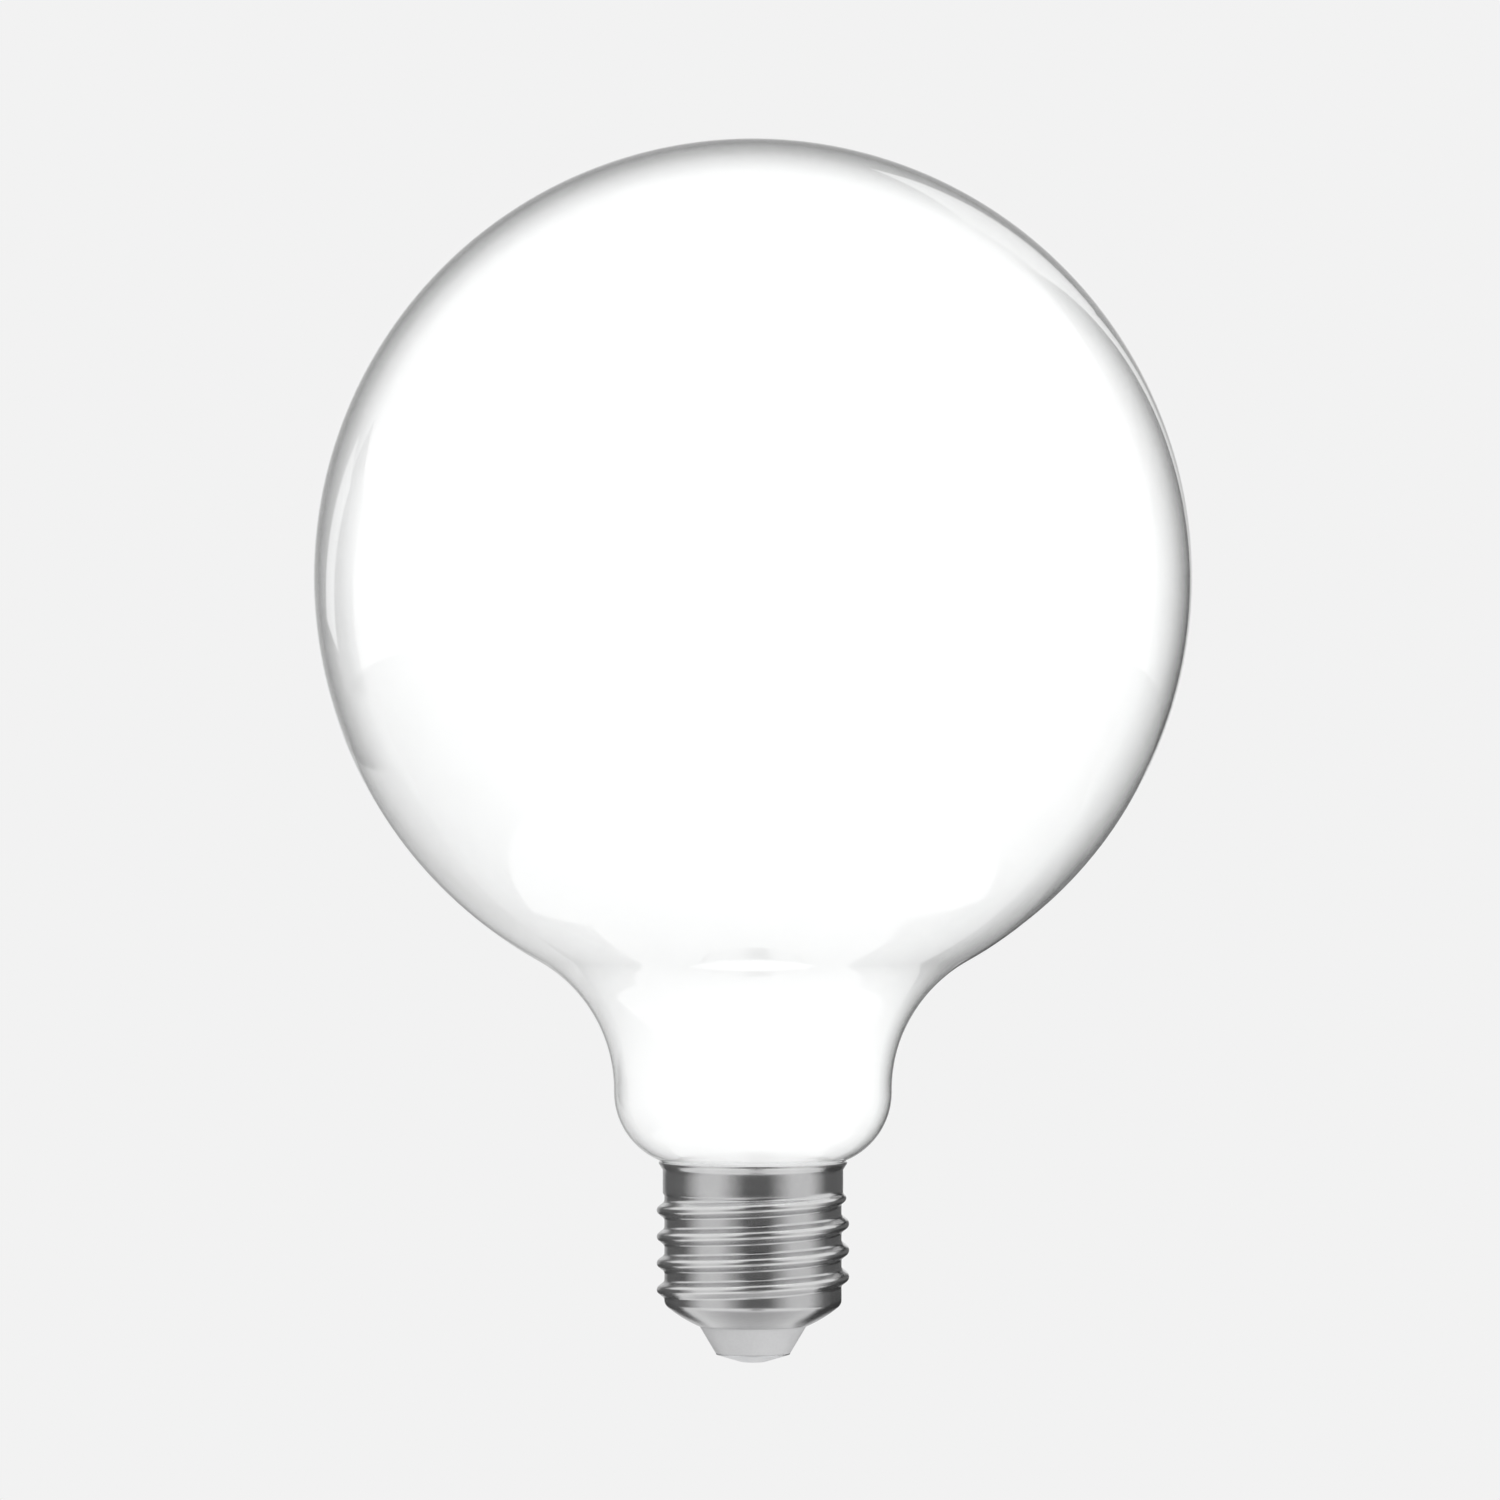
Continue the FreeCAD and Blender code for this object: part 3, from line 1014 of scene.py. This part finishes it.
class Glow:
    """An even glow whose tone follows a place on a card."""

    def __init__(self, name: str) -> None:
        """Makes the material.

        Args:
            name: its name.
        """
        self.material = bpy.data.materials.new(name)
        self.material.use_nodes = True
        self.nodes = Tree(self.material.node_tree)
        split = self.nodes.add("SeparateXYZ")
        self.nodes.join(self.nodes.add("TexCoord").outputs["Object"], split.inputs[0])
        self.parts = split.outputs

    def shade(self, value: bpy.types.NodeSocket, tones: tuple[Point, ...]) -> None:
        """Sets the tones.

        Args:
            value: the place, such as an angle or a distance.
            tones: pairs of a place and the tone there, in order.
        """
        first, last = tones[0][0], tones[-1][0]
        share = self.nodes.sums("DIVIDE", self.nodes.sums("SUBTRACT", value, first), max(last - first, MM))
        ramp = self.nodes.add("ValToRGB")
        stops = ramp.color_ramp.elements
        while len(stops) < len(tones):
            stops.new(1.0)
        for stop, (place, tone) in zip(stops, tones):
            stop.position = (place - first) / max(last - first, MM)
            stop.color = (tone, tone, tone, 1)
        self.nodes.join(share, ramp.inputs["Fac"])
        shine = self.nodes.add("Emission")
        self.nodes.join(ramp.outputs["Color"], shine.inputs["Color"])
        self.nodes.join(shine.outputs[0], self.nodes.add("OutputMaterial").inputs["Surface"])


BLACK, DARK, GREY, LIGHT, PALE = 0.0, 0.12, 0.24, 0.7, 0.88

CARDS: tuple[Band | Board, ...] = (
    Board("back_disc", 450, (0, 107), (700, 700), round=True, tones=(
        (0, PALE), (130, PALE), (155, 0.6), (240, DARK), (345, DARK), (600, 0.8), (700, PALE),
    )),
    Board("left_grey_board", 448, (-545, 130), (230, 330), lean=-20, tones=((0, GREY), (500, GREY), (760, PALE))),
    Board("left_light_board", 446, (-397, 157), (88, 200), tones=((0, 0.64), (1, 0.64)), lean=-27),
    Board("low_left_board", 447, (-215, -175), (560, 330), tones=((0, 0.64), (1, 0.64)), lean=-30),
    Board("right_light_board", 445, (246, 170), (150, 250), tones=((0, 0.68), (1, 0.68)), lean=21),
    Board("upper_light_board", 446, (226, 406), (180, 210), tones=((0, 0.68), (1, 0.68)), lean=-28),
    Board("right_dark_board", 440, (483, 122), (560, 596), lean=21, tones=(
        (0, BLACK), (300, BLACK), (640, 0.8), (760, PALE),
    )),
    Board("low_disc", -240, (0, 0), (420, 420), round=True, lying=True, middle=(0, 60), tones=(
        (0, 0.38), (200, 0.78), (330, PALE),
    )),
    Band("cap_ring", 200, (-105, 66), (
        (16, DARK), (76, DARK), (104, LIGHT), (130, LIGHT), (160, DARK), (190, DARK), (222, LIGHT), (248, LIGHT),
        (278, DARK), (324, DARK), (334, 0.4), (344, 0.4),
    )),
    Band("right_upper_band", 90, (38, 52), ((18, 0.03), (66, 0.05))),
    Band("right_lower_band", 90, (-75, 3), ((18, 0.03), (66, 0.05))),
    Band("left_lower_band", 90, (-60, 3), ((300, 0.1), (342, 0.05))),
    Band("front_dark_band", 1100, (-900, 1300), ((146, 0.85), (161, 0.05), (187, 0.05), (202, 0.85))),
    Band("low_front_band", 160, (-239, -110), (
        (95, 0.95), (158, 0.95), (168, 0.3), (180, 0.3), (190, 0.95), (265, 0.95),
    )),
)


@dataclass(frozen=True)
class Lamp:
    """A soft square lamp that points at the bulb, with its side in mm and its power in watts."""

    name: str
    place: tuple[float, float, float]
    side: float
    power: float


LAMPS: tuple[Lamp, ...] = (
    Lamp("key_lamp", (-800, -1150, 800), 900, 2.0),
    Lamp("fill_lamp", (950, -1050, -80), 800, 4.2),
    Lamp("top_lamp", (0, 250, 1500), 900, 0.5),
)


@dataclass
class Studio:
    """A plain pale studio with its camera."""

    backdrop: float = 0.888
    ambient: float = 0.8
    distance: float = 1000.0
    aim: float = 83.74
    shift: float = -0.41
    view_width: float = 205.25
    floor_level: float = -250.0
    floor_radius: float = 1500.0
    floor_tone: float = 0.88
    floor_fade: Point = (0.35, 0.98)
    sensor: float = 36.0
    clip: Point = (10.0, 20000.0)

    def make(self) -> None:
        """Builds the studio."""
        self.hang_world()
        for card in CARDS:
            self.hang_card(card)
        for lamp in LAMPS:
            self.hang_lamp(lamp)
        self.lay_floor()
        self.set_camera()
        bpy.context.scene.view_settings.view_transform = "Standard"
        log.info("studio with %d cards", len(CARDS))

    def hang_world(self) -> None:
        """Lights the scene evenly, behind a pale backdrop that the camera, metal and glass see."""
        world = bpy.data.worlds.new("pale_studio")
        bpy.context.scene.world = world
        world.use_nodes = True
        nodes = Tree(world.node_tree)
        rays = nodes.add("LightPath").outputs
        seen = nodes.sums("MAXIMUM", rays["Is Camera Ray"], rays["Is Glossy Ray"])
        seen = nodes.sums("MAXIMUM", seen, rays["Is Transmission Ray"])
        mix = nodes.add("MixShader")
        nodes.join(seen, mix.inputs["Fac"])
        for tone, socket in ((self.ambient, mix.inputs[1]), (self.backdrop, mix.inputs[2])):
            light = nodes.add("Background")
            light.inputs["Color"].default_value = (tone, tone, tone, 1)
            nodes.join(light.outputs[0], socket)
        nodes.join(mix.outputs[0], nodes.add("OutputWorld").inputs["Surface"])

    def hang_card(self, card: Band | Board) -> None:
        """Hangs one card, out of the camera's sight and without a shadow. Only upright boards show through glass.

        Args:
            card: the card.
        """
        piece = card.make()
        piece.visible_camera = False
        piece.visible_diffuse = False
        piece.visible_shadow = False
        piece.visible_volume_scatter = False
        piece.visible_transmission = isinstance(card, Board) and not card.lying

    def hang_lamp(self, lamp: Lamp) -> None:
        """Hangs one lamp, out of the camera's sight and out of reflections.

        Args:
            lamp: the lamp.
        """
        data = bpy.data.lights.new(lamp.name, "AREA")
        data.size = lamp.side * MM
        data.energy = lamp.power
        hung = bpy.data.objects.new(lamp.name, data)
        hung.location = Vector(lamp.place) * MM
        toward = Vector((0, 0, self.aim * MM)) - hung.location
        hung.rotation_euler = toward.to_track_quat("-Z", "Y").to_euler()
        hung.visible_camera = False
        hung.visible_glossy = False
        bpy.context.scene.collection.objects.link(hung)

    def lay_floor(self) -> None:
        """Lays a pale round floor below the bulb, which fades out at its rim and is clear from below."""
        mesh = bmesh.new()
        bmesh.ops.create_circle(mesh, cap_ends=True, segments=DISC_SEGMENTS, radius=self.floor_radius * MM)
        bmesh.ops.translate(mesh, verts=mesh.verts, vec=(0, 0, self.floor_level * MM))
        paint = bpy.data.materials.new("pale_floor")
        paint.use_nodes = True
        nodes = Tree(paint.node_tree)
        matt = nodes.add("BsdfDiffuse")
        matt.inputs["Color"].default_value = (self.floor_tone, self.floor_tone, self.floor_tone, 1)
        clear = nodes.add("BsdfTransparent")
        parts = nodes.add("SeparateXYZ")
        nodes.join(nodes.add("TexCoord").outputs["Object"], parts.inputs[0])
        square = nodes.sums(
            "ADD", nodes.sums("POWER", parts.outputs["X"], 2), nodes.sums("POWER", parts.outputs["Y"], 2)
        )
        start, end = (share * self.floor_radius * MM for share in self.floor_fade)
        faded = nodes.spread(nodes.sums("SQRT", square), (start, end), (0, 1))
        gone = nodes.sums("MAXIMUM", faded, nodes.add("NewGeometry").outputs["Backfacing"])
        mix = nodes.add("MixShader")
        nodes.join(gone, mix.inputs["Fac"])
        nodes.join(matt.outputs[0], mix.inputs[1])
        nodes.join(clear.outputs[0], mix.inputs[2])
        nodes.join(mix.outputs[0], nodes.add("OutputMaterial").inputs["Surface"])
        new_piece("floor", mesh, paint)

    def set_camera(self) -> None:
        """Sets a level camera in front of the bulb."""
        data = bpy.data.cameras.new("camera")
        data.sensor_width = self.sensor
        data.lens = self.sensor * self.distance / self.view_width
        data.clip_start, data.clip_end = (reach * MM for reach in self.clip)
        camera = bpy.data.objects.new("camera", data)
        camera.location = (self.shift * MM, -self.distance * MM, self.aim * MM)
        camera.rotation_euler = (math.radians(90), 0, 0)
        bpy.context.scene.collection.objects.link(camera)
        bpy.context.scene.camera = camera


def main() -> None:
    """Builds the bulb and its studio."""
    effects = Effects()
    cap = Cap()
    Globe(cap).make(ClearGlass().make(effects), OpalCoating().make(effects))
    ScrewShell(cap).make(RolledNickel().make(effects))
    Insulator(cap).make(MouldedInsulator().make(effects))
    Contact().make(TinnedContact().make(effects))
    Studio().make()


if __name__ == "__main__":
    main()
